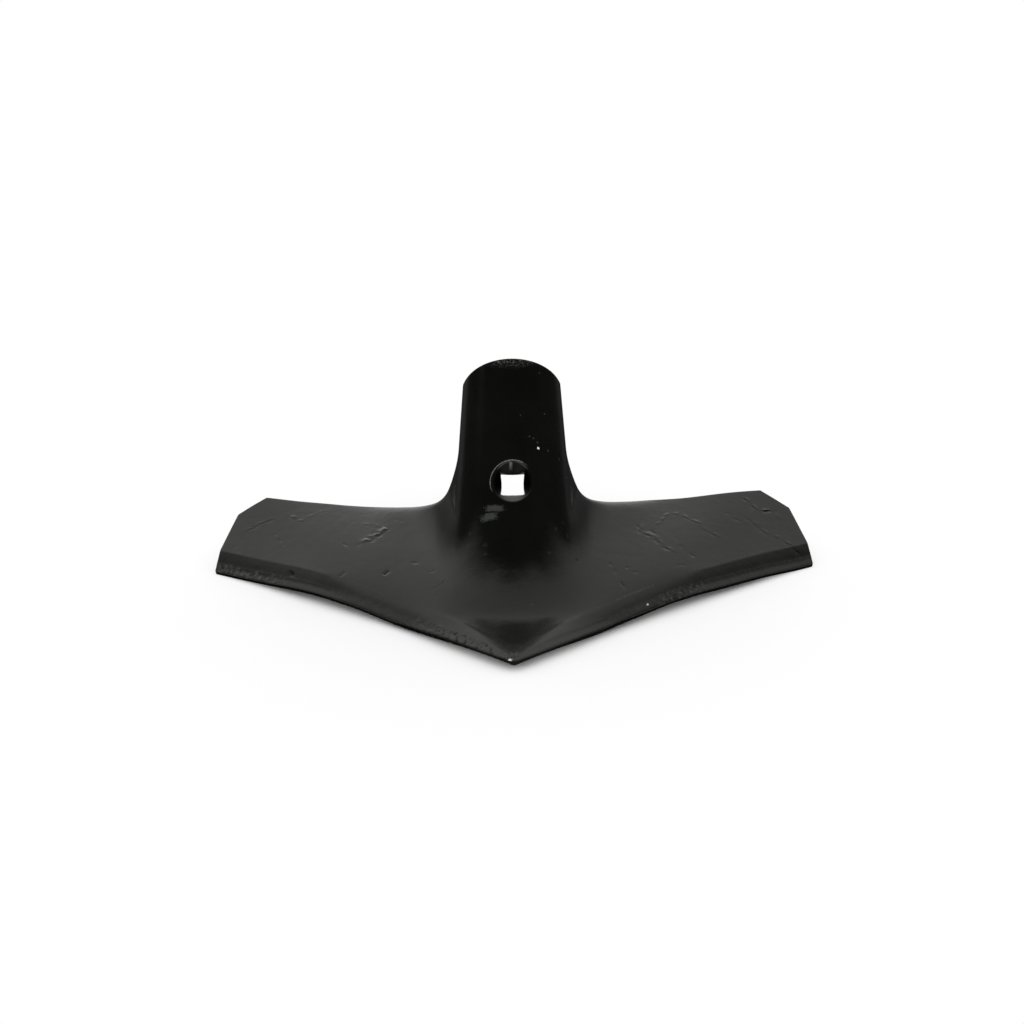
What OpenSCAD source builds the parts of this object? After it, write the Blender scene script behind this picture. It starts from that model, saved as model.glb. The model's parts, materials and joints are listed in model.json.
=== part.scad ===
// Cultivator sweep: the V-shaped share that bolts to the foot of a cultivator shank.
// It is one steel plate, cut to outline, pressed so that a half-round neck rises out of two
// lifted wings, bevelled along its cutting edges and punched with one countersunk bolt hole.
// Millimetres. It stands on its cutting edges, nose towards -Y, neck leaning back to +Y.
// Outline lengths are measured in the press plan, the view along the closing press.

/* [Plate] */
// Thickness of the plate
plate_t = 6; // [5:0.1:7]
// Thickness left at the cutting edge of the wings
edge_t = 2; // [1:0.1:3]
// Thickness left at the blunt nose
nose_t = 5; // [4:0.1:5]
// Distance from the middle at which the edge has thinned to that of the wings
blunt_run = 60; // [40:1:80]
// Width of the bevel behind the cutting edge
bevel_w = 11; // [8:0.5:15]
// Width to which the bevel narrows at the nose
nose_bevel = 5; // [3:0.5:7]
// Distance from the middle at which the bevel has its full width
nose_run = 26; // [18:1:34]
// Width of the flatter strip that the bevel keeps along the cutting edge
strip_w = 4; // [2:0.5:6]
// Rise of that strip from the cutting edge to the hollow of the bevel
strip_rise = 0.5; // [0.2:0.1:0.8]

/* [Wings] */
// Cutting width, wing tip to wing tip
cut_w = 305; // [270:1:340]
// How far the wing tips lie behind the nose
tip_back = 127; // [112:1:140]
// How far the cutting edge hollows back halfway along
edge_hollow = 5; // [0:0.5:8]
// Lift of the wings behind the cutting edge, degrees
wing_lift = 18; // [14:0.5:22]
// Slope of the flat top of the nose, degrees
nose_rise = 7; // [5:0.5:9]
// Softness of the bends between the nose and the wings
crown_soft = 0.04; // [0.02:0.01:0.1]
// Length of the wing end, front to back
end_len = 40.5; // [32:0.5:48]
// How far the wing end leans in towards its rear corner
end_lean = 9; // [4:0.5:14]
// Clipped rear corner, sideways
clip_w = 14; // [8:0.5:20]
// Clipped rear corner, front to back
clip_len = 13.5; // [8:0.5:18]
// Sweep of the trailing edge, degrees
trail_sweep = 15; // [12:0.5:18]

/* [Neck] */
// Distance from the nose to the foot of the neck
neck_foot = 66; // [58:1:74]
// Lean of the neck from level, degrees
neck_lean = 50; // [46:0.5:54]
// Length of the neck from its foot to its top
neck_len = 126; // [116:1:140]
// Radius of the seat for the shank, at the top of the neck
seat_r = 19.5; // [17:0.5:22]
// How much the seat widens towards the foot on each side, degrees
seat_spread = 4; // [1:0.5:6]
// Half of the angle that the neck wraps round the shank, degrees
seat_half = 74; // [68:1:78]
// How far the top of the neck falls away at its corners
top_drop = 6.5; // [2:0.5:10]
// Radius of the root corner between neck and trailing edge
root_r = 11; // [8:0.5:14]
// Radius of the press round the foot of the neck
blend_r = 22; // [18:0.5:26]

/* [Bolt hole] */
// Distance of the hole up the neck
hole_up = 60; // [56:1:80]
// Width of the square hole, corner to corner along a side
hole_w = 12; // [10:0.5:14]
// How far the punch crowds each side of the hole inward
hole_bulge = 0.6; // [0.2:0.1:1]
// Rim diameter of the countersink
sink_d = 22.5; // [20:0.5:24]
// Included angle of the countersink, degrees
sink_angle = 90; // [80:1:100]

/* [Hidden] */

// Lean of the press towards the nose, so that neither neck nor wings undercut
press_lean = 35;
paint = [0.13, 0.13, 0.125];

// Strips of the pressed face: across half the neck, round the root corner, along the trailing
// edge and the clip; rows over the wing and up the free neck
neck_strips = 12;
root_strips = 6;
trail_strips = 14;
clip_strips = 3;
wing_rows = 18;
neck_rows = 10;
// Rows over the bevel, as shares of its width: two over the strip, three over the hollow behind it
strip_share = strip_w / bevel_w;
bevel_shares = [0, strip_share / 2, for (k = [0 : 2]) strip_share + (1 - strip_share) * k / 3];
bevel_rows = len(bevel_shares);
// Halvings in the search for the pressed face, and the step used for its slope
search_steps = 32;
slope_step = 0.01;

tip = [cut_w / 2, tip_back * cos(press_lean)];
end_corner = tip + [-end_lean, end_len];
rear_corner = end_corner + [-clip_w, clip_len];
nose_half = atan2(tip.x, tip_back);
foot_z = roof(0, neck_foot);

short_rows = bevel_rows + wing_rows;
tall_rows = short_rows + neck_rows;
wing_strips = root_strips + trail_strips + clip_strips;
half_strips = neck_strips + wing_strips;

// Pressed form

// Place in space of a place in the press plan, h along the press
function in_space(x, q, h) =
    [x, q * cos(press_lean) - h * sin(press_lean), q * sin(press_lean) + h * cos(press_lean)];

// Place in the press plan of a place in space
function in_plan(p) = [p.x, p.y * cos(press_lean) + p.z * sin(press_lean)];

// Height of the wings and the nose, a roof of straight lines out of the nose with softened bends
function roof(x, y) =
    let (wing = tan(wing_lift) * (y * sin(nose_half) - abs(x) * cos(nose_half)))
    let (nose = tan(nose_rise) * y)
    let (soft = max(crown_soft * y, 0.001))
    let (share = min(max(0.5 + 0.5 * (nose - wing) / soft, 0), 1))
    nose + (wing - nose) * share - soft * share * (1 - share);

function seat_r_at(up) = seat_r + tan(seat_spread) * (neck_len - up);

// Place on the back of the neck: angle round the seat, distance up from the foot
function neck_point(angle, up) =
    let (r = seat_r_at(up))
    let (deep = r * (1 - cos(angle)))
    [
        r * sin(angle),
        neck_foot + up * cos(neck_lean) + deep * sin(neck_lean),
        foot_z + up * sin(neck_lean) - deep * cos(neck_lean)
    ];

// Distance of a place from the back of the wings
function wing_gap(p) = (p.z - roof(p.x, p.y)) * cos(wing_lift);

// Distance of a place from the back of the neck, whose flanks run on straight past the seat
function neck_gap(p) =
    let (y = p.y - neck_foot)
    let (z = p.z - foot_z)
    let (r = seat_r_at(y * cos(neck_lean) + z * sin(neck_lean)))
    let (front = z * cos(neck_lean) - y * sin(neck_lean) + r)
    let (side = abs(p.x))
    atan2(side, front) <= seat_half
        ? norm([side, front]) - r
        : side * sin(seat_half) + front * cos(seat_half) - r;

// Distance from the whole pressed face: neck and wings joined by a rounded hollow
function press_gap(p) =
    let (a = neck_gap(p))
    let (b = wing_gap(p))
    max(blend_r, min(a, b)) - norm([max(blend_r - a, 0), max(blend_r - b, 0)]);

// Height along the press at which the face lies, closing in between two limits
function press_height(x, q, low, high, steps) =
    let (mid = (low + high) / 2)
    steps == 0 ? mid
        : press_gap(in_space(x, q, mid)) > 0
            ? press_height(x, q, low, mid, steps - 1)
            : press_height(x, q, mid, high, steps - 1);

function pressed(plan) =
    in_space(plan.x, plan.y, press_height(plan.x, plan.y, -cut_w, neck_len, search_steps));

// Direction square to the pressed face
function square_out(p) =
    let (steps = slope_step * [[1, 0, 0], [0, 1, 0], [0, 0, 1]])
    let (rise = [for (s = steps) press_gap(p + s) - press_gap(p - s)])
    rise / norm(rise);

// Outline in the press plan, right half

function edge_at(x) =
    let (share = x / tip.x)
    [x, tip.y * share + edge_hollow * 4 * share * (1 - share)];

function top_at(angle) = in_plan(neck_point(angle, neck_len - top_drop * pow(angle / seat_half, 2)));

// Root corner: a circle that touches the side of the neck and the trailing edge
side_top = top_at(seat_half);
side_foot = in_plan(neck_point(seat_half, 0));
side_way = (side_foot - side_top) / norm(side_foot - side_top);
trail_way = [cos(trail_sweep), sin(trail_sweep)];
side_run = cross(rear_corner - side_top, trail_way) / cross(side_way, trail_way);
root_corner = side_top + side_run * side_way;
root_angle = acos(-side_way * trail_way);
root_tangent = root_r / tan(root_angle / 2);
root_start = root_corner - root_tangent * side_way;
root_end = root_corner + root_tangent * trail_way;
root_way = (trail_way - side_way) / norm(trail_way - side_way);
root_mid = root_corner + root_way * root_r / sin(root_angle / 2);
root_from = atan2(root_start.y - root_mid.y, root_start.x - root_mid.x);
root_turn = 180 - root_angle;
root_up = (neck_len - top_drop) * norm(root_start - side_foot) / norm(side_top - side_foot);

// Rear end of each wing strip: round the root corner, along the trailing edge, over the clip
function rear_at(i) =
    let (turn = root_from + root_turn * i / root_strips)
    i <= root_strips
        ? root_mid + root_r * [cos(turn), sin(turn)]
        : i <= root_strips + trail_strips
            ? root_end + (rear_corner - root_end) * (i - root_strips) / trail_strips
            : rear_corner + (end_corner - rear_corner) * (i - root_strips - trail_strips) / clip_strips;

// Where a strip of the neck, run on straight, meets the cutting edge
function neck_edge_x(i) =
    let (top = top_at(seat_half * i / neck_strips))
    let (low = in_plan(neck_point(seat_half * i / neck_strips, root_up)))
    let (lean = (low.x - top.x) / (top.y - low.y))
    (low.x + lean * low.y) / (1 + lean * tip.y / tip.x);

function wing_edge_x(i) =
    neck_edge_x(neck_strips)
    + (tip.x - neck_edge_x(neck_strips)) * (rear_at(i).x - root_start.x) / (end_corner.x - root_start.x);

function bevel_at(x) =
    let (share = min(x / nose_run, 1))
    nose_bevel + (bevel_w - nose_bevel) * share * (2 - share);

// Places along one strip, from the cutting edge over the bevel to its rear end
function strip(edge, rear) =
    let (along = tip / norm(tip))
    let (bevel = edge + (rear - edge) * bevel_at(edge.x) / abs(cross(along, rear - edge)))
    [
        for (share = bevel_shares) edge + (bevel - edge) * share,
        for (r = [0 : wing_rows]) bevel + (rear - bevel) * r / wing_rows
    ];

function neck_strip(i) =
    let (angle = seat_half * i / neck_strips)
    let (low = in_plan(neck_point(angle, root_up)))
    let (top = top_at(angle))
    [
        each strip(edge_at(neck_edge_x(i)), low),
        for (r = [1 : neck_rows]) low + (top - low) * r / neck_rows
    ];

// Plate between its two faces

half_back = [
    for (i = [0 : neck_strips]) [for (place = neck_strip(i)) pressed(place)],
    for (i = [1 : wing_strips]) [for (place = strip(edge_at(wing_edge_x(i)), rear_at(i))) pressed(place)]
];

// Thickness of the plate in a row of the strip that starts at x on the cutting edge
function thickness(row, x) =
    let (edge = edge_t + (nose_t - edge_t) * (1 - min(x / blunt_run, 1)))
    let (rise = strip_rise * (plate_t - edge) / (plate_t - edge_t))
    let (share = row < bevel_rows ? bevel_shares[row] : 1)
    let (fall = (1 - share) / (1 - strip_share))
    share < strip_share
        ? edge + rise * share / strip_share
        : plate_t - (plate_t - edge - rise) * fall * (0.7 + 0.3 * fall);

half_front = [
    for (line = half_back)
        [for (r = [0 : len(line) - 1]) line[r] + thickness(r, line[0].x) * square_out(line[r])]
];

function both_halves(half) = [
    for (i = [half_strips : -1 : 1]) for (p = half[i]) [-p.x, p.y, p.z],
    for (line = half) for (p = line) p
];

back_points = both_halves(half_back);
front_points = both_halves(half_front);
side_count = len(back_points);

// Number of a point in the list of one face; the neck strips are taller than the wing strips
function spot(column, row) =
    column * (short_rows + 1)
    + min(max(column - wing_strips, 0), 2 * neck_strips + 1) * neck_rows
    + row;

function is_neck(column) = abs(column - half_strips) <= neck_strips;

// Two triangles of a four-sided patch, split the same way on both halves of the plate
function patch(a, b, c, d, turned) = turned ? [[a, b, d], [b, c, d]] : [[a, b, c], [a, c, d]];

face_patches = [
    for (c = [0 : 2 * half_strips - 1])
        for (r = [0 : (is_neck(c) && is_neck(c + 1) ? tall_rows : short_rows) - 1])
            each patch(spot(c, r), spot(c, r + 1), spot(c + 1, r + 1), spot(c + 1, r), c < half_strips)
];

left_side = half_strips - neck_strips;
right_side = half_strips + neck_strips;
last = 2 * half_strips;
rim = [
    for (c = [0 : last - 1]) spot(c, 0),
    for (r = [0 : short_rows - 1]) spot(last, r),
    for (c = [last : -1 : right_side + 1]) spot(c, short_rows),
    for (r = [short_rows : tall_rows - 1]) spot(right_side, r),
    for (c = [right_side : -1 : left_side + 1]) spot(c, tall_rows),
    for (r = [tall_rows : -1 : short_rows + 1]) spot(left_side, r),
    for (c = [left_side : -1 : 1]) spot(c, short_rows),
    for (r = [short_rows : -1 : 1]) spot(0, r)
];

rim_patches = [
    for (i = [0 : len(rim) - 1])
        let (a = rim[i])
        let (b = rim[(i + 1) % len(rim)])
        each patch(a, b, b + side_count, a + side_count, false)
];

front_y = min([for (p = concat(front_points, back_points)) p.y]);
rear_y = max([for (p = concat(front_points, back_points)) p.y]);

module plate() {
    back_patches = [for (t = face_patches) [t[2] + side_count, t[1] + side_count, t[0] + side_count]];
    polyhedron(
        points = concat(front_points, back_points),
        faces = concat(face_patches, back_patches, rim_patches)
    );
}

// Square hole whose sides the punch has crowded inward
module hole_outline() {
    bow_r = (pow(hole_w / 2, 2) + pow(hole_bulge, 2)) / (2 * hole_bulge);
    difference() {
        square(hole_w, center = true);
        for (turn = [0 : 90 : 270])
            rotate(turn) translate([hole_w / 2 + bow_r - hole_bulge, 0]) circle(bow_r, $fn = 180);
    }
}

// Bolt hole and countersink, square to the neck
module bolt_hole() {
    reach = plate_t * 2;
    grow = reach * tan(sink_angle / 2);
    sink_r = sink_d / 2;
    sink_deep = sink_r / tan(sink_angle / 2);
    translate(neck_point(0, hole_up)) rotate([neck_lean, 0, 0]) {
        translate([0, 0, -reach]) linear_extrude(height = 2 * reach) hole_outline();
        translate([0, 0, plate_t - sink_deep])
            cylinder(h = sink_deep + reach, r1 = 0, r2 = sink_r + grow, $fn = 96);
    }
}

module sweep() {
    color(paint) translate([0, -(front_y + rear_y) / 2, 0]) difference() {
        plate();
        bolt_hole();
    }
}

sweep();
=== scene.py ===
import json
import math

import bmesh
import bpy
import numpy as np
from mathutils import Matrix, Vector
from mathutils.kdtree import KDTree


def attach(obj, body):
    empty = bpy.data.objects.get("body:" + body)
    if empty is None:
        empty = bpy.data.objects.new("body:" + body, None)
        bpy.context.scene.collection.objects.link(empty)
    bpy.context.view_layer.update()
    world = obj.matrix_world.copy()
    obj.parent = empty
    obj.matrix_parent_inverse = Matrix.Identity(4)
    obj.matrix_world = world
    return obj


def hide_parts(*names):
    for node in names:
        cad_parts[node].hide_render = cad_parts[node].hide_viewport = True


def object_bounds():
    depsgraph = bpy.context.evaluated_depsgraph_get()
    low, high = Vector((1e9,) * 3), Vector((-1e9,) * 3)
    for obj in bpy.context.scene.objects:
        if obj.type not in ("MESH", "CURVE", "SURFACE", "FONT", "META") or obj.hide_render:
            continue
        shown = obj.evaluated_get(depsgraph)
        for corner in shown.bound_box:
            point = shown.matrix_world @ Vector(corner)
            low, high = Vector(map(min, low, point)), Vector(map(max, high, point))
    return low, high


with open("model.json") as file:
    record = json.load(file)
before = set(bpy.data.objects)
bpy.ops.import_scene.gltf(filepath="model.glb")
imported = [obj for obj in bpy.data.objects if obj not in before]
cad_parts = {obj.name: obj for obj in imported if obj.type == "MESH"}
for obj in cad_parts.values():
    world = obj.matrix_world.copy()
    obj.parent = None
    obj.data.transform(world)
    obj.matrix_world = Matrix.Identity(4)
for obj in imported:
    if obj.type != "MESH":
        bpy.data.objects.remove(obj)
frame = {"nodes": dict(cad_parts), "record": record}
cad_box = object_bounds()

MM = 0.001


# Working with selections, as by hand

def make_active(piece):
    """Only this piece is selected, and operators act on it."""
    if bpy.context.object and bpy.context.object.mode != "OBJECT":
        bpy.ops.object.mode_set(mode="OBJECT")
    bpy.ops.object.select_all(action="DESELECT")
    piece.select_set(True)
    bpy.context.view_layer.objects.active = piece


def select_in(piece, kind, test):
    """Enters edit mode with the vertices, edges or faces selected that pass the test."""
    bpy.ops.object.mode_set(mode="EDIT")
    bpy.ops.mesh.select_mode(type=kind)
    bpy.ops.mesh.select_all(action="DESELECT")
    shape = bmesh.from_edit_mesh(piece.data)
    parts = {"VERT": shape.verts, "EDGE": shape.edges, "FACE": shape.faces}[kind]
    for item in parts:
        if test(item):
            item.select_set(True)
    shape.select_flush_mode()
    bmesh.update_edit_mesh(piece.data)


def object_mode():
    bpy.ops.object.mode_set(mode="OBJECT")


# Shader maths as expressions

class Wire:
    """A socket of a node tree. Python's operators on it add Math nodes."""

    def __init__(self, tree, socket):
        self.tree = tree
        self.socket = socket

    def node(self, kind, settings=None, sockets=None):
        """Adds any node: its type, its settings first, then the values or links of its sockets."""
        made = self.tree.nodes.new(kind)
        for name, value in (settings or {}).items():
            setattr(made, name, value)
        for name, value in (sockets or {}).items():
            if isinstance(value, Wire):
                self.tree.links.new(value.socket, made.inputs[name])
            else:
                made.inputs[name].default_value = value
        return made

    def out(self, kind, output, settings=None, sockets=None):
        return Wire(self.tree, self.node(kind, settings, sockets).outputs[output])

    def math(self, operation, *values):
        return self.out("ShaderNodeMath", 0, {"operation": operation}, dict(enumerate(values)))

    def __add__(self, other):
        return self.math("ADD", self, other)

    __radd__ = __add__

    def __mul__(self, other):
        return self.math("MULTIPLY", self, other)

    __rmul__ = __mul__

    def __sub__(self, other):
        return self.math("SUBTRACT", self, other)

    def __rsub__(self, other):
        return self.math("SUBTRACT", other, self)

    def __truediv__(self, other):
        return self.math("DIVIDE", self, other)

    def __pow__(self, other):
        return self.math("POWER", self, other)

    def __abs__(self):
        return self.math("ABSOLUTE", self)

    def least(self, other):
        return self.math("MINIMUM", self, other)

    def most(self, other):
        return self.math("MAXIMUM", self, other)

    def step(self, low, high):
        """Runs smoothly from 0 where the value is low to 1 where it is high."""
        return self.out("ShaderNodeMapRange", "Result", {"interpolation_type": "SMOOTHSTEP"},
                        {"Value": self, "From Min": low, "From Max": high})

    def vector(self, operation, output, *values):
        return self.out("ShaderNodeVectorMath", output, {"operation": operation}, dict(enumerate(values)))

    def dot(self, direction):
        return self.vector("DOT_PRODUCT", "Value", self, direction)

    def mix(self, other, share):
        """This colour, with a share of another one."""
        return self.out("ShaderNodeMix", 2, {"data_type": "RGBA"}, {0: share, 6: self, 7: other})


def fresh_tree(owner):
    """An empty node tree, and a wire that stands for it."""
    owner.use_nodes = True
    owner.node_tree.nodes.clear()
    return Wire(owner.node_tree, None)


# Sizes of the plate, in millimetres

PLATE_T = 6
EDGE_T = 2
NOSE_T = 5
BLUNT_RUN = 60
BEVEL_W = 11
STRIP_W = 4
STRIP_RISE = 0.5
BEVEL_HOLLOW = 0.3
TIP_X = 152.5
TIP_BACK = 127
EDGE_HOLLOW = 6.1
PRESS_LEAN = math.radians(35)
PRESS = Vector((0, -math.sin(PRESS_LEAN), math.cos(PRESS_LEAN)))


# Bolt hole, in its own frame: across the neck, up the neck, out of the neck's front

bolt = next(mount for mount in frame["record"]["mounts"] if mount["name"] == "bolt_hole")
PLATE = PLATE_T * MM
HOLE_OUT = Vector(bolt["axis"])
HOLE_UP = HOLE_OUT.cross(Vector((1, 0, 0)))
HOLE_BACK = Vector(bolt["pos_m"]) - HOLE_OUT * PLATE / 2
HOLE_HALF = 6 * MM
HOLE_BULGE = 0.6 * MM
HOLE_CREASE = 0.8
HOLE_BELOW_TOP = 66 * MM
SEAT_TOP_R = 19.5 * MM
SEAT_TAPER = math.tan(math.radians(4))
SEAT_R = SEAT_TOP_R + SEAT_TAPER * HOLE_BELOW_TOP
SINK_R = 11.25 * MM
SINK_ROUND = 1.0 * MM
SINK_LIP = 0.35 * MM
SINK_LAND = 0.8 * MM
BACK_LAND = 0.6 * MM


def in_hole_frame(place):
    away = place - HOLE_BACK
    return away.x, away.dot(HOLE_UP), away.dot(HOLE_OUT)


def from_hole_frame(across, up, out):
    return HOLE_BACK + Vector((across, 0, 0)) + HOLE_UP * up + HOLE_OUT * out


def seat_at(up):
    """Radius of the neck's hollow side, so far up from the hole."""
    return SEAT_R - SEAT_TAPER * up


def neck_face(across, up, skin):
    """Height of the round neck over the middle of the hole, on the skin that far from its back."""
    return math.sqrt((seat_at(up) + skin) ** 2 - across ** 2) - seat_at(up)


def square_reach(turn):
    """Distance from the middle of the hole to its bowed side, in a direction."""
    bow = (HOLE_HALF ** 2 + HOLE_BULGE ** 2) / (2 * HOLE_BULGE)
    side = (turn + math.pi / 4) % (math.pi / 2) - math.pi / 4
    middle = HOLE_HALF - HOLE_BULGE + bow
    return middle * math.cos(side) - math.sqrt(bow ** 2 - (middle * math.sin(side)) ** 2)


def rim_place(turn, outside, sunk):
    """Place on the neck's front, so far outside the rim of the countersink and sunk by so much."""
    reach = SINK_R + outside
    for _ in range(8):
        out = neck_face(reach * math.cos(turn), reach * math.sin(turn), PLATE)
        reach = SINK_R - PLATE + out + outside
    return reach * math.cos(turn), reach * math.sin(turn), out - sunk


def cone_place(turn, reach):
    return reach * math.cos(turn), reach * math.sin(turn), reach - SINK_R + PLATE


def on_neck(across, up, skin):
    return across, up, neck_face(across, up, skin)


def between(first, second, share):
    return tuple(a + (b - a) * share for a, b in zip(first, second))


# Cutting edge and bevel, seen from above, in millimetres

# How far the blunt nose leans out over its foot
NOSE_AHEAD = 0.911
NOSE_Y = cad_box[0][1] / MM + NOSE_AHEAD
EDGE_LEAN = math.sin(math.atan2(TIP_X, TIP_BACK))
# Where the front of the plate ends over the edge, and how far behind its line the bevel is still worn
EDGE_FRONT = -0.4
LINE_PAST = 0.784
# How far behind the edge the bevel's line lies at the nose, where it is crisp, and at most
LINE_FROM = 5
CRISP_FROM = 6
LINE_TO = 15
STRIP = STRIP_W / BEVEL_W


def from_edge(x, y):
    """Distance behind the cutting edge."""
    share = np.minimum(np.abs(x) / TIP_X, 1.05)
    return (y - NOSE_Y - TIP_BACK * share - 4 * EDGE_HOLLOW * share * (1 - share)) * EDGE_LEAN


def bevel_share(x, y, line):
    """0 at the front of the cutting edge, 1 where the bevel starts."""
    wide = np.interp(np.abs(x), *line) + LINE_PAST
    return (from_edge(x, y) - EDGE_FRONT) / (wide - EDGE_FRONT)


def left_of_plate(share, x):
    """Thickness of the plate over the bevel, at a share of its width."""
    edge = EDGE_T + (NOSE_T - EDGE_T) * (1 - np.minimum(np.abs(x) / BLUNT_RUN, 1))
    rise = STRIP_RISE * (PLATE_T - edge) / (PLATE_T - EDGE_T)
    fall = (1 - share) / (1 - STRIP)
    hollow = PLATE_T - (PLATE_T - edge - rise) * fall * (1 - BEVEL_HOLLOW + BEVEL_HOLLOW * fall)
    return np.where(share < STRIP, edge + rise * share / STRIP, hollow)


# Edges and faces of the plate, found by their place

CORNERS_FROM = 100
# The block of the grid round the hole: up and down, its lower side's slant by degree, round and deep
BLOCK_HIGH = 21.5
BLOCK_SLANT = 0.2
BLOCK_TURN = 29
BLOCK_DEEP = 9


def middle_of(edge):
    return (edge.verts[0].co + edge.verts[1].co) / 2 / MM


def turns_by(edge, degrees):
    return len(edge.link_faces) == 2 and edge.calc_face_angle() > math.radians(degrees)


def round_hole(face):
    """Whether a face lies in the block of the grid that the bolt hole cuts into."""
    across, up, out = in_hole_frame(face.calc_center_median())
    turn = abs(math.degrees(math.atan2(across, out + seat_at(up))))
    low = (BLOCK_SLANT * turn - BLOCK_HIGH) * MM
    return turn < BLOCK_TURN and low < up < BLOCK_HIGH * MM and abs(out) < BLOCK_DEEP * MM


def is_corner(edge):
    """An upright edge of the plate's rim at a wing tip or a clipped corner."""
    first, second = (vert.co for vert in edge.verts)
    upright = abs((first - second).normalized().z) > 0.8
    return upright and abs(first.x) >= CORNERS_FROM * MM and turns_by(edge, 18)


def is_ground_edge(edge):
    """An edge of the line on which the plate stands, under the cutting edge."""
    middle = middle_of(edge)
    return turns_by(edge, 42) and middle.z < 1.7 and from_edge(middle.x, middle.y) < 1.2


def is_rim(edge):
    return turns_by(edge, 42) and not is_ground_edge(edge)


def is_bevel_line(edge, nearest=LINE_FROM):
    """An edge of the line where the bevel starts, on the front of the plate."""
    middle = middle_of(edge)
    on_line = turns_by(edge, 9) and nearest < from_edge(middle.x, middle.y) < LINE_TO
    return on_line and min(face.normal.z for face in edge.link_faces) > 0.3


def is_crisp_line(edge):
    """An edge of that line away from the tip of the nose."""
    return is_bevel_line(edge, CRISP_FROM)


# The pressed plate

def copy_plate():
    """The plate's own mesh, merged and turned back from triangles to the four-sided grid."""
    node = frame["nodes"]["sweep"]
    plate = node.copy()
    plate.data = node.data.copy()
    plate.name = "pressed_sweep"
    plate.parent = None
    bpy.context.scene.collection.objects.link(plate)
    make_active(plate)
    plate.data.materials.clear()
    bpy.ops.mesh.customdata_custom_splitnormals_clear()
    select_in(plate, "VERT", lambda vert: True)
    bpy.ops.mesh.remove_doubles(threshold=0.001 * MM)
    bpy.ops.mesh.tris_convert_to_quads(
        face_threshold=math.pi, shape_threshold=math.pi, topology_influence=2.0)
    object_mode()
    return plate


def read_bevel_line(plate):
    """Distances from the middle, and how far behind the edge the bevel starts at each."""
    shape = bmesh.new()
    shape.from_mesh(plate.data)
    found = {}
    for edge in shape.edges:
        if is_bevel_line(edge):
            for vert in edge.verts:
                x, y = abs(vert.co.x) / MM, vert.co.y / MM
                found[round(x, 2)] = from_edge(x, y)
    shape.free()
    return np.array(sorted(found.items())).T


def open_rings(shape):
    """The two open loops left in the plate, front then back, each in order round the hole."""
    rings = [[], []]
    for vert in shape.verts:
        if vert.is_boundary:
            across, up, out = in_hole_frame(vert.co)
            skin = math.hypot(across, out + seat_at(up)) - seat_at(up)
            rings[0 if skin > PLATE / 2 else 1].append((math.atan2(up, across), vert))
    return [[vert for _, vert in sorted(ring, key=lambda pair: pair[0])] for ring in rings]


def hole_rings(turn, front, back):
    """Places in one direction from the hole: rolled rim, countersink, bowed square, back."""
    roll = SINK_ROUND * math.tan(math.pi / 8)
    half = SINK_ROUND * math.sin(math.pi / 8)
    face = rim_place(turn, roll + SINK_LAND, 0)
    cone = rim_place(turn, roll - SINK_ROUND * math.sin(math.pi / 4),
                     SINK_ROUND * (1 - math.cos(math.pi / 4)))
    square = cone_place(turn, square_reach(turn))
    behind = on_neck(square[0], square[1], 0)
    wider = 1 + BACK_LAND / square_reach(turn)
    land = on_neck(square[0] * wider, square[1] * wider, 0)
    return [
        on_neck(*between(front, face, 0.55)[:2], PLATE),
        face,
        rim_place(turn, roll, -SINK_LIP),
        rim_place(turn, roll - half, SINK_ROUND * (1 - math.cos(math.pi / 8)) - 0.6 * SINK_LIP),
        cone,
        between(cone, square, 0.12),
        between(cone, square, 0.6),
        square,
        behind,
        land,
        on_neck(*between(land, back, 0.45)[:2], 0),
    ]


def punch_hole(plate):
    """Closes the block round the hole with rings of four-sided faces."""
    shape = bmesh.new()
    shape.from_mesh(plate.data)
    front, back = open_rings(shape)
    count = len(front)
    assert count == len(back) and count % 8 == 0, (count, len(back))
    turns = [2 * math.pi * step / count - math.pi for step in range(count)]
    columns = []
    for turn, front_vert, back_vert in zip(turns, front, back):
        places = hole_rings(turn, in_hole_frame(front_vert.co), in_hole_frame(back_vert.co))
        inner = [shape.verts.new(from_hole_frame(*place)) for place in places]
        columns.append([front_vert] + inner + [back_vert])
    crease = shape.edges.layers.float.get("crease_edge")
    corner_steps = {count // 8 + count // 4 * side for side in range(4)}
    square, behind = 8, 9
    for step in range(count):
        here, there = columns[step], columns[(step + 1) % count]
        for ring in range(len(here) - 1):
            shape.faces.new((here[ring], there[ring], there[ring + 1], here[ring + 1]))
        for ring in (square, behind):
            shape.edges.get((here[ring], there[ring]))[crease] = HOLE_CREASE
        if step in corner_steps:
            shape.edges.get((here[square], here[behind]))[crease] = HOLE_CREASE
    bmesh.ops.recalc_face_normals(shape, faces=shape.faces)
    shape.to_mesh(plate.data)
    shape.free()


# Working on the whole surface at once, in millimetres

def surface(plate):
    """Places and normals of all vertices."""
    count = len(plate.data.vertices)
    places, normals = np.empty(count * 3), np.empty(count * 3)
    plate.data.vertices.foreach_get("co", places)
    plate.data.vertex_normals.foreach_get("vector", normals)
    return places.reshape(-1, 3) / MM, normals.reshape(-1, 3)


def move_surface(plate, places):
    plate.data.vertices.foreach_set("co", (places * MM).ravel())
    plate.data.update()


def keep_value(plate, name, values):
    """Keeps a number for each vertex, for the material to read."""
    kept = plate.data.attributes.new(name, "FLOAT", "POINT")
    kept.data.foreach_set("value", values.astype(np.float32))


def ease(value, low, high):
    """Runs smoothly from 0 where the value is low to 1 where it is high."""
    share = np.clip((value - low) / (high - low), 0, 1)
    return share * share * (3 - 2 * share)


def front_share(normals):
    """1 on the front of the plate, 0 on its rim and back."""
    return ease(normals @ np.array(PRESS), 0.3, 0.6)


# Wear and softening, in millimetres. A pair gives where a share starts to change and where it ends

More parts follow.
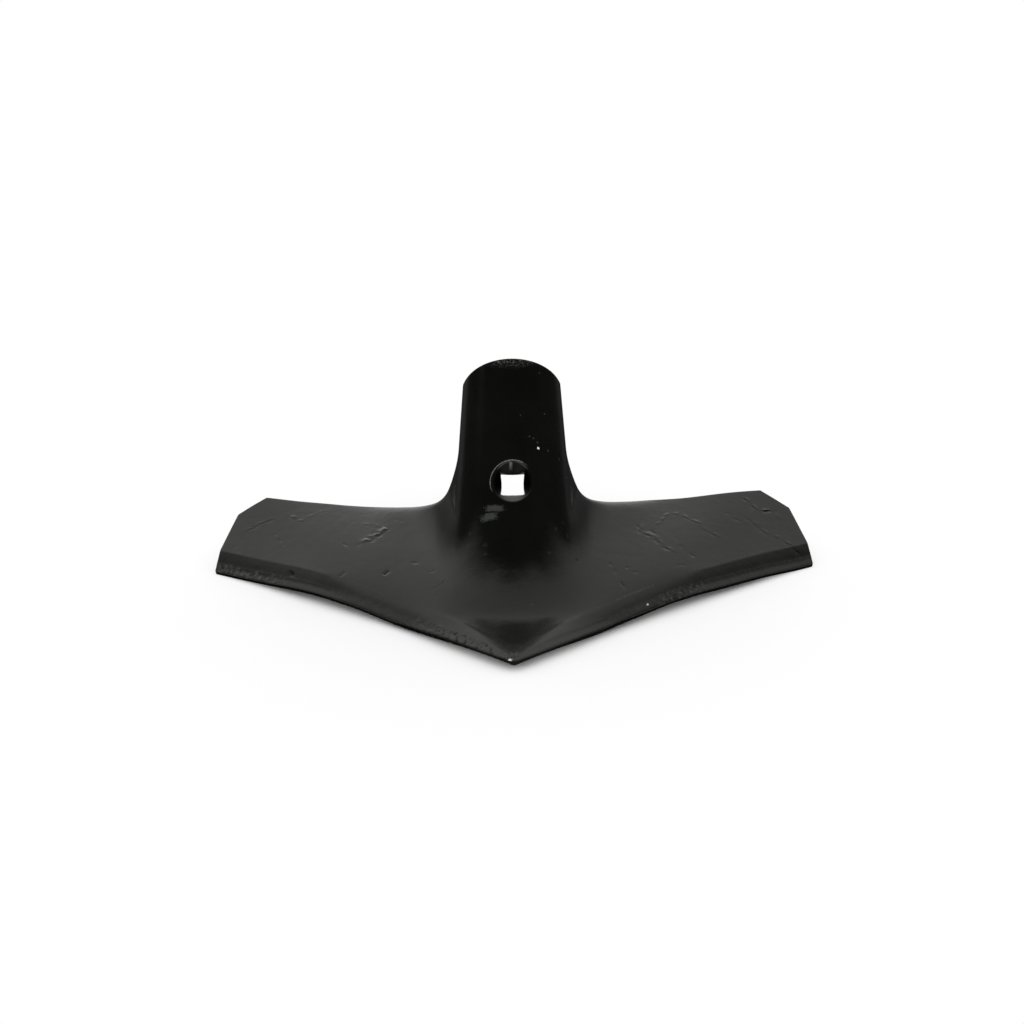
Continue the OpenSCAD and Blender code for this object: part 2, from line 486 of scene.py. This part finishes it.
NOSE_FLAT = (12, 55)
RUB_AT_TIP = 0.5
RUB_MORE = 1.5
RUB_BACK = (40, 74)
RUB_ASIDE = (8, 46)
FLARE_PASSES = 220
FLARE_ASIDE = (66, 94)
FLARE_BACK = (42, 64)
FLARE_TOP = (42, 56)
ROOT_LIFT = 0.9
ROOT_RUN = 8
ROOT_IN = (24, 36)
ROOT_OUT = (55, 80)
UNDERCUT = 5.5
UNDERCUT_HIGH = 5
UNDERCUT_BACK = (0, 30)
UNDERCUT_ASIDE = (8, 62)
TIP_FROM = 128
INSIDE_BOX = 0.05


def wear_nose(plate, line):
    """Rubs the front of the nose down flatter, and the bevel near it out."""
    places, normals = surface(plate)
    x, y = places[:, 0], places[:, 1]
    aside, back = np.abs(x), y - NOSE_Y
    share = np.clip(bevel_share(x, y, line), 0, 1)
    left = left_of_plate(share, x)
    keep = ease(aside, *NOSE_FLAT)
    edge = left_of_plate(0 * share, x)
    fill = (1 - keep) * (PLATE_T - left) + keep * 0.5 * (edge + (PLATE_T - edge) * share - left)
    rub = RUB_AT_TIP + RUB_MORE * np.clip(back / RUB_BACK[0], 0, 1.3)
    rub = rub * (1 - ease(back, *RUB_BACK)) * (1 - ease(aside, *RUB_ASIDE))
    move = (fill - rub) * front_share(normals)
    places = places + normals * move[:, None]
    places[:, 1] = np.maximum(places[:, 1], cad_box[0][1] / MM)
    move_surface(plate, places)


def soften_flare(plate):
    """Lets the turn from the wings into the neck run out wider and softer on the front."""
    places, normals = surface(plate)
    x, y, z = places.T
    total = len(places)
    ends = np.empty(len(plate.data.edges) * 2, np.int32)
    plate.data.edges.foreach_get("vertices", ends)
    start, end = ends[0::2], ends[1::2]
    count = np.bincount(ends, minlength=total)
    share = front_share(normals) * ease(y - NOSE_Y, *FLARE_BACK)
    share = share * (1 - ease(np.abs(x), *FLARE_ASIDE)) * (1 - ease(z, *FLARE_TOP))
    for _ in range(FLARE_PASSES):
        off = np.zeros(total)
        for axis in range(3):
            along = places[:, axis]
            around = np.bincount(start, along[end], total) + np.bincount(end, along[start], total)
            off += (around / count - along) * normals[:, axis]
        places += normals * (0.5 * share * off)[:, None]
    move_surface(plate, places)


def round_root(plate):
    """Rounds the front over towards the trailing rim where the rim runs into the neck."""
    places, normals = surface(plate)
    aside = np.abs(places[:, 0])
    here = (aside > 20) & (aside < 84) & (places[:, 1] > 10) & (places[:, 2] > 12)
    facing = normals @ np.array(PRESS)
    rim = here & (np.abs(facing) < 0.35) & (normals[:, 1] > 0.3)
    tree = KDTree(int(rim.sum()))
    for index, place in enumerate(places[rim]):
        tree.insert(place, index)
    tree.balance()
    away = np.array([tree.find(place)[2] for place in places[here]]) / ROOT_RUN
    lift = ROOT_LIFT * away * np.exp(1 - away) * front_share(normals[here])
    places[here, 2] += lift * ease(aside[here], *ROOT_IN) * (1 - ease(aside[here], *ROOT_OUT))
    move_surface(plate, places)


def undercut_nose(plate):
    """Wears the foot of the nose's blunt front back under it."""
    places, _ = surface(plate)
    x, y, z = places.T
    behind = np.maximum(from_edge(x, y), 0)
    near = (1 - ease(behind, *UNDERCUT_BACK)) * (1 - ease(np.abs(x), *UNDERCUT_ASIDE))
    places[:, 1] += UNDERCUT * np.clip(1 - z / UNDERCUT_HIGH, 0, 1) * near
    move_surface(plate, places)


def stretch_tips(plate):
    """Draws the wing tips out to the full cutting width."""
    places, _ = surface(plate)
    x = places[:, 0]
    for side, reach in ((-1, -cad_box[0][0] / MM), (1, cad_box[1][0] / MM)):
        gap = reach - INSIDE_BOX - (side * x).max()
        x += side * gap * ease(side * x, TIP_FROM, reach - gap)
    move_surface(plate, places)


# Bent wings, in millimetres: places across, and how far the plate is bent up there

EDGE_BEND = (
    (-139, 0), (-126, 0.5), (-113, 1.6), (-100, 2.6), (-87, 2.3), (-75, 2.1), (-62, 0.6), (-50, 0),
    (40, 0), (52, 1.4), (65, 2.1), (78, 3.0), (91, 2.6), (103, 1.7), (129, 1.0), (142, 0),
)
TRAIL_BEND = (
    (-139, 0), (-126, -1.1), (-113, -2.2), (-88, -2.6), (-75, -2.2), (-62, -0.6), (-50, 0),
    (25, 0), (40, 1.2), (52, 1.6), (65, 1.0), (78, -0.3), (91, -1.0), (116, 0),
)
BEND_BLUR = 5


def bend_at(x, bends):
    """Height of a bent edge at places across, with its bends rounded."""
    across = np.arange(-170, 171)
    blur = np.exp(-(np.arange(-3 * BEND_BLUR, 3 * BEND_BLUR + 1) / BEND_BLUR) ** 2 / 2)
    sharp = np.interp(across, *zip(*bends))
    return np.interp(x, across, np.convolve(sharp, blur / blur.sum(), "same"))


def bend_wings(plate):
    """Bends each wing along its two edges, as the press and use have left it."""
    places, _ = surface(plate)
    x = places[:, 0]
    behind = from_edge(x, places[:, 1])
    stations = np.arange(-150, 151, 6)
    widths = [behind[np.abs(x - station) < 4].max() for station in stations]
    share = np.clip(behind / np.interp(x, stations, widths), 0, 1)
    places[:, 2] += bend_at(x, EDGE_BEND) * (1 - share) ** 2 + bend_at(x, TRAIL_BEND) * share ** 2
    move_surface(plate, places)


# Marks on the front of the wings: kind, half width, height, and places from above, in millimetres

MARKS = (
    ("wrinkle", 1.3, 0.6, ((-73.9, 31.7), (-69.5, 36.6), (-65.1, 41.3))),
    ("dent", 1.3, -0.35, ((-78.0, 26.9),)),
    ("step", 0.7, 0.12, ((-76.4, 49.6), (-72.1, 47.9), (-67.8, 44.2))),
    ("dent", 0.7, -0.2, ((-87.9, 34.6), (-83.3, 26.8))),
    ("dent", 0.6, -0.18, ((-60.9, 50.8), (-56.6, 46.0))),
    ("wrinkle", 0.9, 0.24, ((-115.6, 66.4), (-111.0, 61.1))),
    ("dent", 0.8, 0.1, ((-111.0, 61.1), (-98.5, 69.8))),
    ("step", 0.7, 0.25, ((-137.8, 60.3), (-132.3, 63.8), (-126.7, 66.3))),
    ("dent", 0.7, -0.2, ((-122.8, 51.5), (-117.2, 39.8))),
    ("dent", 0.9, -0.3, ((-143.9, 47.4),)),
    ("dent", 1.1, -0.35, ((-111.3, 15.5), (-111.1, 11.5))),
    ("dent", 1.1, -0.4, ((-85.6, 1.6), (-84.2, 2.8))),
    ("dent", 1.3, -0.5, ((-63.6, -2.6), (-61.8, -0.4))),
    ("dent", 1.1, -0.35, ((-49.8, 4.0), (-48.0, 3.2))),
    ("dent", 1.0, -0.3, ((-41.5, -7.2), (-39.5, -7.2))),
    ("wrinkle", 0.9, 0.3, ((-38.0, -20.5), (-35.4, -18.9))),
    ("dent", 0.9, -0.25, ((-20.5, -16.7),)),
    ("step", 0.7, 0.3, ((64.1, 39.3), (64.8, 33.1), (71.7, 28.8), (74.4, 21.5), (79.7, 17.2))),
    ("dent", 0.7, -0.3, ((69.1, 36.6), (71.9, 32.8))),
    ("dent", 0.7, 0.2, ((73.5, 43.3), (79.4, 55.5))),
    ("wrinkle", 0.8, 0.25, ((84.1, 56.0), (89.6, 52.8), (95.5, 48.0))),
    ("step", 0.7, 0.18, ((95.2, 44.2), (100.1, 40.8), (105.0, 36.9))),
    ("dent", 0.7, -0.2, ((82.0, 30.7), (84.4, 20.3), (90.2, 15.0))),
    ("dent", 1.1, -0.4, ((82.0, 4.0), (83.8, 4.8))),
    ("dent", 0.7, -0.2, ((111.0, 61.5), (118.2, 53.4))),
    ("step", 0.7, 0.3, ((121.8, 77.8), (127.3, 68.0), (136.1, 71.7))),
    ("step", 0.7, 0.22, ((122.2, 58.3), (129.7, 49.0))),
    ("wrinkle", 0.8, 0.3, ((134.8, 47.1), (141.6, 43.1))),
    ("dent", 1.6, 0.25, ((138.3, 67.4),)),
    ("dent", 0.7, -0.2, ((139.3, 40.6), (146.4, 38.9))),
    ("dent", 0.8, -0.25, ((107.8, 74.6),)),
    ("dent", 0.8, -0.3, ((48.2, -1.0), (49.9, -8.3))),
    ("dent", 0.8, -0.35, ((52.1, -15.2), (54.3, -21.5))),
    ("dent", 0.8, -0.25, ((56.1, -2.6),)),
    ("dent", 0.8, -0.25, ((60.4, -6.2),)),
    ("dent", 0.8, -0.25, ((39.8, 15.5),)),
    ("dent", 0.8, -0.25, ((31.2, -6.9),)),
    ("dent", 0.7, -0.3, ((28.7, -29.4), (30.6, -32.6))),
)
MARK_DEPTH = 0.8


def to_line(x, y, line):
    """Distance of places from a line of points, with its sign by side, all from above."""
    line = [np.array(point) for point in line]
    if len(line) == 1:
        line = line * 2
    best = np.full(len(x), 1e9)
    for start, end in zip(line, line[1:]):
        way = end - start
        along = np.clip(((x - start[0]) * way[0] + (y - start[1]) * way[1]) / max(way @ way, 1e-9), 0, 1)
        off_x, off_y = x - start[0] - along * way[0], y - start[1] - along * way[1]
        gap = np.hypot(off_x, off_y) * np.where(way[0] * off_y - way[1] * off_x < 0, -1, 1)
        best = np.where(np.abs(gap) < np.abs(best), gap, best)
    return best


def near_mark(places):
    """Whether places lie close to any of the marks, seen from above."""
    close = np.zeros(len(places), bool)
    for _, wide, _, line in MARKS:
        close |= np.abs(to_line(places[:, 0], places[:, 1], line)) < 2.2 * wide + 0.3
    return close


def wander(x, y):
    """Waves that keep a mark from running straight."""
    waves = np.sin(0.55 * x + 0.35 * y) + 0.8 * np.sin(0.9 * y - 0.5 * x + 1)
    return waves + 0.4 * np.sin(1.6 * x + 1.3 * y)


def ragged(x, y, turn):
    """How much of a mark is left along it, so that it breaks up."""
    patches = np.sin(0.62 * x + 0.41 * y + turn) * np.sin(0.37 * x - 0.71 * y + 2 * turn)
    return np.clip(0.55 + patches + 0.3 * np.sin(1.7 * x + 1.1 * y + turn), 0.05, 1.2)


def mark_section(kind, gap, wide):
    """Height of a mark so far from its line: a round dent, a folded wrinkle or the step of a flake."""
    if kind == "wrinkle":
        fold = np.exp(-(gap / np.where(gap > 0, 1.8 * wide, 0.8 * wide)) ** 2)
        return fold - 0.5 * np.exp(-((gap + 1.3 * wide) / (0.7 * wide)) ** 2)
    if kind == "step":
        return np.tanh(gap / (0.5 * wide)) * np.exp(-(gap / (2.2 * wide)) ** 2)
    return np.exp(-(gap / wide) ** 2)


def press_marks(plate):
    """Divides the front finer round each mark, and presses the mark into it."""
    faces = plate.data.polygons
    centres = np.array([face.center for face in faces]) / MM
    front = np.array([face.normal.dot(PRESS) for face in faces]) > 0.5
    chosen = near_mark(centres) & front & (centres[:, 1] < 100)
    make_active(plate)
    select_in(plate, "FACE", lambda face: chosen[face.index])
    bpy.ops.mesh.subdivide(number_cuts=2, smoothness=0, ngon=False)
    object_mode()
    places, normals = surface(plate)
    x, y = places[:, 0], places[:, 1]
    move = np.zeros(len(places))
    for kind, wide, high, line in MARKS:
        gap = to_line(x, y, line)
        gap = gap + 0.25 * wander(x, y) * wide * np.exp(-(gap / 4) ** 2)
        move += MARK_DEPTH * high * ragged(x, y, 7 * line[0][0]) * mark_section(kind, gap, wide)
    move *= front_share(normals)
    move_surface(plate, places + normals * move[:, None])
    keep_value(plate, "pitted", ease(-move, 0.06, 0.3))


def mark_edges(plate, line):
    """Notes the blunt wall of the cutting edge, the place over the bevel, and the countersink; the wall and
    the countersink get painted shade.
    """
    places, normals = surface(plate)
    x, y = places[:, 0], places[:, 1]
    facing = normals @ np.array(PRESS)
    wall_end = 1.6 + np.clip(6 - np.abs(x) / 10, 0, 6)
    # The blunt wall of the cutting edge, which the material paints black as shade
    wall = (1 - ease(facing, 0.3, 0.55)) * (1 - ease(from_edge(x, y), 0.9, wall_end))
    keep_value(plate, "wall", wall)
    keep_value(plate, "bevel", np.where(facing > 0.3, np.clip(bevel_share(x, y, line), 0, 2), 2))
    away = places - np.array(HOLE_BACK) / MM
    up, out = away @ np.array(HOLE_UP), away @ np.array(HOLE_OUT)
    seat = seat_at(up * MM) / MM
    sunk = PLATE_T - (np.hypot(x, out + seat) - seat)
    # The countersink, which the material darkens as painted shade
    keep_value(plate, "sunk", ease(sunk, 0.5, 1.0) * (np.hypot(x, up) < 11.2) * (sunk < 7))


# The finished piece

CORNER_ROUND = 0.7 * MM
RIM_ROUND = 0.45 * MM


def round_edges(plate, test, radius):
    select_in(plate, "EDGE", test)
    bpy.ops.mesh.bevel(offset=radius, offset_type="OFFSET", segments=2, affect="EDGES")


def crease_edges(plate, test, share):
    select_in(plate, "EDGE", test)
    bpy.ops.transform.edge_crease(value=share)


def pressed_sweep():
    """The plate with rounded rims and its hole, smoothed, then worn, bent and marked."""
    plate = copy_plate()
    line = read_bevel_line(plate)
    select_in(plate, "FACE", round_hole)
    bpy.ops.mesh.delete(type="FACE")
    round_edges(plate, is_corner, CORNER_ROUND)
    round_edges(plate, is_rim, RIM_ROUND)
    crease_edges(plate, is_crisp_line, 0.9)
    crease_edges(plate, is_ground_edge, 1.0)
    object_mode()
    punch_hole(plate)
    smoother = plate.modifiers.new("smoother", "SUBSURF")
    smoother.levels = smoother.render_levels = 2
    make_active(plate)
    bpy.ops.object.modifier_apply(modifier="smoother")
    wear_nose(plate, line)
    soften_flare(plate)
    round_root(plate)
    undercut_nose(plate)
    stretch_tips(plate)
    bend_wings(plate)
    press_marks(plate)
    mark_edges(plate, line)
    make_active(plate)
    bpy.ops.object.shade_smooth_by_angle(angle=math.radians(55))
    return plate


# Chips, here painted white as glints, specks and rubbed places, in millimetres: place and radius

CHIPS_AND_GLINTS = (
    ((13.0, 24.5, 70.0), 0.8), ((-1.7, -89.2, 4.8), 1.1), ((64.8, -28.0, 6.5), 0.9),
)
SPECKS = (
    ((4.3, 33.0, 84.5), 0.5), ((8.7, 26.8, 75.5), 0.6), ((10.7, 26.8, 74.4), 0.6),
    ((12.7, 26.3, 72.4), 0.6), ((16.3, 38.6, 83.3), 0.6), ((17.9, 26.7, 67.8), 0.7),
    ((23.5, 29.7, 62.3), 0.6), ((27.0, 28.9, 52.6), 0.5), ((14.2, 51.7, 100.8), 0.6),
    ((8.7, -40.4, 13.0), 0.7), ((-38.3, -35.1, 11.0), 0.5),
)
GREY_RUBS = (
    ((29.5, 24.8, 39.8), 1.2), ((24.6, 7.7, 36.5), 0.9), ((21.1, 1.7, 35.6), 1.3),
    ((26.5, 3.9, 31.0), 1.1), ((17.4, -11.3, 27.9), 1.3), ((-13.6, -9.1, 31.6), 1.6),
    ((-13.6, -13.1, 28.4), 1.3), ((-21.3, 0.2, 34.0), 1.2), ((-22.1, -4.7, 29.5), 1.1),
)
# Long paler patches: middle, half of the length as a vector, half width
PALE_PATCHES = (
    ((-9.0, 2.8, 46.4), (4.6, -1.3, 0.7), 1.7), ((-11.6, 0.8, 42.6), (4.0, -1.0, 1.4), 2.1),
)

# Colours of the paint, of what shows where it is worn, and of painted highlights and shade

PAINT = (0.0014, 0.0018, 0.0013, 1)
PAINT_THIN = (0.0026, 0.0030, 0.0023, 1)
PAINT_IN_PITS = (0.0015, 0.0016, 0.0014, 1)
STRIP_GREY = (0.011, 0.0112, 0.0105, 1)
SCRAPED_GREY = (0.05, 0.051, 0.047, 1)
NOSE_GREY = (0.018, 0.0183, 0.017, 1)
GOUGE_BLACK = (0.002, 0.002, 0.0019, 1)
# Painted highlight along the bevel's line, painted shade in the countersink, and pale metal for painted
# highlights there
BEVEL_LINE_HIGHLIGHT = (0.03, 0.031, 0.028, 1)
COUNTERSINK_SHADE = (0.015, 0.0155, 0.0145, 1)
COUNTERSINK_HIGHLIGHT_GREY = (0.2, 0.2, 0.195, 1)
PALE_MARK_GREY = (0.032, 0.038, 0.034, 1)
CROWN_GREY = (0.12, 0.125, 0.12, 1)
# White of the chips, which also stands in for their glints as painted highlight
CHIP_AND_GLINT_WHITE = (0.75, 0.76, 0.74, 1)
# Painted shade on the blunt wall of the cutting edge
EDGE_WALL_SHADE = (0.004, 0.004, 0.0038, 1)
SHINE_TINT = (1, 1, 0.945, 1)


def spots(mm, flecks, places):
    """Small ragged spots at the places listed."""
    found = None
    for centre, radius in places:
        gap = mm.vector("DISTANCE", "Value", mm, centre)
        spot = 1 - (gap + (flecks - 0.5) * 2.2 * radius).step(0.5 * radius, radius)
        found = spot if found is None else found.most(spot)
    return found


def pale_patch(mm, flecks, grain, middle, half, wide):
    """A long paler patch, ragged and broken at its rim."""
    half = Vector(half)
    off = mm.vector("SUBTRACT", "Vector", mm, middle)
    along = off.dot(half / half.length) / half.length
    gap = off.vector("LENGTH", "Value", off)
    across = (gap * gap - along * along * half.length_squared).most(0) ** 0.5 / wide
    reach = (along * along * along * along + across * across * across * across) ** 0.25
    return 1 - (reach + (flecks - 0.5) * 2.4 + (grain - 0.5) * 1.2).step(0.7, 1.0)


def black_paint():
    """Semi-gloss black paint on rough rolled steel, chipped and rubbed by the soil, with painted highlights
    along the bevel's line, on the chips and in the countersink, and painted shade on the blunt edge and in
    the countersink.
    """
    finish = bpy.data.materials.new("black_paint_finish")
    tree = fresh_tree(finish)
    place = tree.out("ShaderNodeTexCoord", "Object")
    mm = tree.out("ShaderNodeVectorMath", "Vector", {"operation": "SCALE"}, {0: place, "Scale": 1 / MM})
    x, y, z = (mm.dot(axis) for axis in ((1, 0, 0), (0, 1, 0), (0, 0, 1)))
    pitted, wall, bevel, sunk = (tree.out("ShaderNodeAttribute", "Fac", {"attribute_name": name})
                                 for name in ("pitted", "wall", "bevel", "sunk"))
    hole_up, hole_out = (mm.dot(axis) - axis.dot(HOLE_BACK) / MM for axis in (HOLE_UP, HOLE_OUT))

    def noise(scale, detail):
        return tree.out("ShaderNodeTexNoise", "Fac", None, {"Vector": mm, "Scale": scale, "Detail": detail})

    ripple, grain, flecks, drift = noise(0.16, 2.0), noise(0.8, 3.0), noise(1.7, 4.0), noise(0.05, 3.0)
    scrape = noise(0.5, 5.0)

    # Chips painted white as glints, specks, rubs and paler patches
    chips_and_glints = spots(mm, flecks, CHIPS_AND_GLINTS)
    pale_marks = (spots(mm, flecks, SPECKS) * 0.8).most(spots(mm, flecks, GREY_RUBS) * 0.25)
    for one in PALE_PATCHES:
        pale_marks = pale_marks.most(pale_patch(mm, flecks, grain, *one))
    crown = z.step(103.8, 106.5) * (1 - abs(x).step(9, 14)) * flecks.step(0.52, 0.66)

    # Painted highlights: a pale arc on the countersink's rim at its upper left only, and a pale streak of
    # bare metal inside its top
    reach = (x * x + hole_up * hole_up) ** 0.5
    rim = reach.step(10.8, 11.0) * (1 - reach.step(11.2, 11.4)) * hole_out.step(2, 3)
    rim = rim * ((hole_up * 0.8 - x * 0.6) / reach).step(0.1, 0.6)
    rim = rim * (grain * 0.6 + flecks * 0.4).step(0.3, 0.6)
    painted_streak = sunk * (1 - (abs(x + 0.8) + (flecks - 0.5)).step(0.1, 1.2)) * hole_up.step(6.5, 9.5)

    # The strip along the cutting edge, scraped and gouged most where it was hit
    strip = (1 - (bevel + (grain - 0.5) * 0.3).step(0.28, 0.46)) * (1 - wall)
    left_of_nose = 1 - abs(x + 20).step(12, 34)
    left_tip = (-1 * x).step(108, 132)
    right_dent = (1 - abs(x - 82).step(5, 16)) * 0.8
    hit = left_of_nose.most(left_tip).most(right_dent)
    scraped = strip * (0.12 + hit * 0.7) * scrape.step(0.52, 0.6)
    gouged = strip * hit * (1 - scrape.step(0.38, 0.45))
    worn = (1 - abs(x).step(22, 48)) * (1 - bevel.step(0.7, 1.5)) * (0.4 + grain)
    # A painted highlight along the bevel's line, broken up by noise
    crease = bevel.step(0.9, 1.0) * (1 - bevel.step(1.02, 1.12))
    crease = crease * (flecks * 0.6 + drift * 0.5).step(0.56, 0.66)

    colour = tree.out("ShaderNodeMix", 2, {"data_type": "RGBA"},
                      {0: drift.step(0.35, 0.65), 6: PAINT, 7: PAINT_THIN})
    for shade, share in (
            (PAINT_IN_PITS, pitted), (STRIP_GREY, strip * 0.8), (SCRAPED_GREY, scraped * 0.8),
            (NOSE_GREY, worn.least(1)), (GOUGE_BLACK, gouged), (BEVEL_LINE_HIGHLIGHT, crease * 0.8),
            (COUNTERSINK_SHADE, sunk), (COUNTERSINK_HIGHLIGHT_GREY, painted_streak.most(rim)), (PALE_MARK_GREY, pale_marks),
            (CROWN_GREY, crown), (CHIP_AND_GLINT_WHITE, chips_and_glints), (EDGE_WALL_SHADE, wall)):
        colour = colour.mix(shade, share)

    polish = (1 - abs(x).step(20, 40)) * (1 - y.step(-50, -30))
    rough = 0.13 + grain * 0.07 + polish * 0.01 + strip * 0.1
    for patch, least in (
            (pitted, 0.6), (gouged, 0.6), (pale_marks.most(chips_and_glints).most(crown), 0.55),
            (rim, 0.4), (sunk, 0.3), (wall, 0.9)):
        rough = rough.most(patch * least)
    height = ripple * (1 - polish * 0.2) + grain * (0.12 + polish * 0.16) + scraped * 0.4
    relief = tree.out("ShaderNodeBump", "Normal", None,
                      {"Strength": 1.0, "Distance": 0.12 * MM, "Height": height})
    # Metallic with a nearly black colour is painted shade on the blunt edge wall and in the countersink:
    # there they reflect almost nothing
    shader = tree.node("ShaderNodeBsdfPrincipled", None, {
        "Base Color": colour, "Roughness": rough, "Metallic": wall.most(sunk),
        "Specular Tint": SHINE_TINT, "Normal": relief})
    end = tree.node("ShaderNodeOutputMaterial")
    finish.node_tree.links.new(shader.outputs[0], end.inputs["Surface"])
    return finish


plate = pressed_sweep()
plate.data.materials.append(black_paint())
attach(plate, "root")
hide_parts("sweep")


# Camera at the photograph's angle, fitted to the outline

PICTURE_SIDE = 1024
FOCAL_PIXELS = 2405.686
SENSOR = 36
CAMERA_PLACE = Vector((5.172, -1109.634, 449.237)) * MM
CAMERA_DOWN = math.radians(20)
CAMERA_YAW = math.radians(-0.288)
CAMERA_ROLL = math.radians(-0.816)


def aim_camera():
    lens = bpy.data.cameras.new("camera")
    lens.sensor_width = SENSOR
    lens.lens = FOCAL_PIXELS * SENSOR / PICTURE_SIDE
    lens.clip_start = 0.05
    camera = bpy.data.objects.new("camera", lens)
    bpy.context.scene.collection.objects.link(camera)
    level = Vector((math.sin(CAMERA_YAW), math.cos(CAMERA_YAW), 0))
    ahead = level * math.cos(CAMERA_DOWN) - Vector((0, 0, math.sin(CAMERA_DOWN)))
    right = Vector((math.cos(CAMERA_YAW), -math.sin(CAMERA_YAW), 0))
    above = right.cross(ahead)
    right, above = (right * math.cos(CAMERA_ROLL) + above * math.sin(CAMERA_ROLL),
                    above * math.cos(CAMERA_ROLL) - right * math.sin(CAMERA_ROLL))
    turn = Matrix((right, above, -ahead)).transposed()
    camera.matrix_world = Matrix.Translation(CAMERA_PLACE) @ turn.to_4x4()
    bpy.context.scene.camera = camera


aim_camera()


# Floor and light

WHITE = (1, 1, 1, 1)
FLOOR_R = 0.2
FLOOR_FADE = (0.11, 0.19)


def white_floor():
    """White, and wholly white to what looks at it a little way out, where the dome takes over."""
    finish = bpy.data.materials.new("white_floor")
    tree = fresh_tree(finish)
    place = tree.out("ShaderNodeTexCoord", "Object")
    reach = place.vector("LENGTH", "Value", place)
    matt = tree.node("ShaderNodeBsdfDiffuse", None, {"Color": WHITE})
    glow = tree.node("ShaderNodeEmission", None, {"Color": WHITE, "Strength": 1.0})
    rays = tree.node("ShaderNodeLightPath")
    camera, glossy, through = (Wire(finish.node_tree, rays.outputs[name]) for name in (
        "Is Camera Ray", "Is Glossy Ray", "Is Transmission Ray"))
    seen = camera.most(glossy).most(through)
    both = tree.node("ShaderNodeMixShader", None, {"Fac": seen * reach.step(*FLOOR_FADE)})
    end = tree.node("ShaderNodeOutputMaterial")
    links = finish.node_tree.links
    links.new(matt.outputs[0], both.inputs[1])
    links.new(glow.outputs[0], both.inputs[2])
    links.new(both.outputs[0], end.inputs["Surface"])
    return finish


def studio_light():
    """An even white dome. What shines sees it as a white bank above and behind, in a darker room."""
    world = bpy.data.worlds.new("studio")
    bpy.context.scene.world = world
    tree = fresh_tree(world)
    toward = tree.out("ShaderNodeTexCoord", "Generated")
    aside, behind, height = (toward.dot(axis) for axis in ((1, 0, 0), (0, 1, 0), (0, 0, 1)))
    left = -1 * aside
    turn = abs(aside.math("ARCTAN2", aside, behind))
    near = 1 - turn.step(0.2, 0.55)

    # The bank, brighter higher up and to the left
    bank = behind.step(-0.12, 0.14) * height.step(-0.3, -0.02)
    bank = bank * (0.2 + (height + near * 0.25).step(0.15, 0.67) * 0.8)
    bank = bank * (0.58 + left.step(0.05, 0.3) * 0.08 + left.step(0.28, 0.45) * 0.1
                   - aside.step(0.05, 0.3) * 0.03)

    # It is dimmed to the sides below the top, and goes out low down there
    dimmed = turn.step(0.75, 1.5) * (1 - height.step(0.9, 0.97))
    bank = bank * (1 - dimmed * (0.68 + aside.step(-0.2, 0.2) * 0.1))
    bank = bank * (1 - turn.step(0.8, 1.1) * (1 - height.step(0.3, 0.62)))

    # A white sheet low behind the piece, and a weak light low in front
    sheet = near * (1 - height.step(0.35, 0.56)) * height.step(-0.05, 0.05)
    bank = bank + (1 - bank) * sheet
    front = (-1 * behind).step(0.3, 0.8) * height.step(0, 0.12) * (1 - height.step(0.35, 0.5))

    rays = tree.node("ShaderNodeLightPath")
    glossy = Wire(world.node_tree, rays.outputs["Is Glossy Ray"])
    level = 1 - glossy * (1 - bank.most(front * 0.3).most(0.04))
    sky = tree.node("ShaderNodeBackground", None, {"Color": WHITE, "Strength": level})
    end = tree.node("ShaderNodeOutputWorld")
    world.node_tree.links.new(sky.outputs[0], end.inputs["Surface"])


bpy.ops.object.select_all(action="DESELECT")
bpy.ops.mesh.primitive_circle_add(vertices=128, radius=FLOOR_R, fill_type="NGON", location=(0, 0, 0))
floor = bpy.context.object
floor.name = "floor"
floor.data.materials.append(white_floor())
studio_light()
bpy.context.scene.view_settings.view_transform = "Standard"
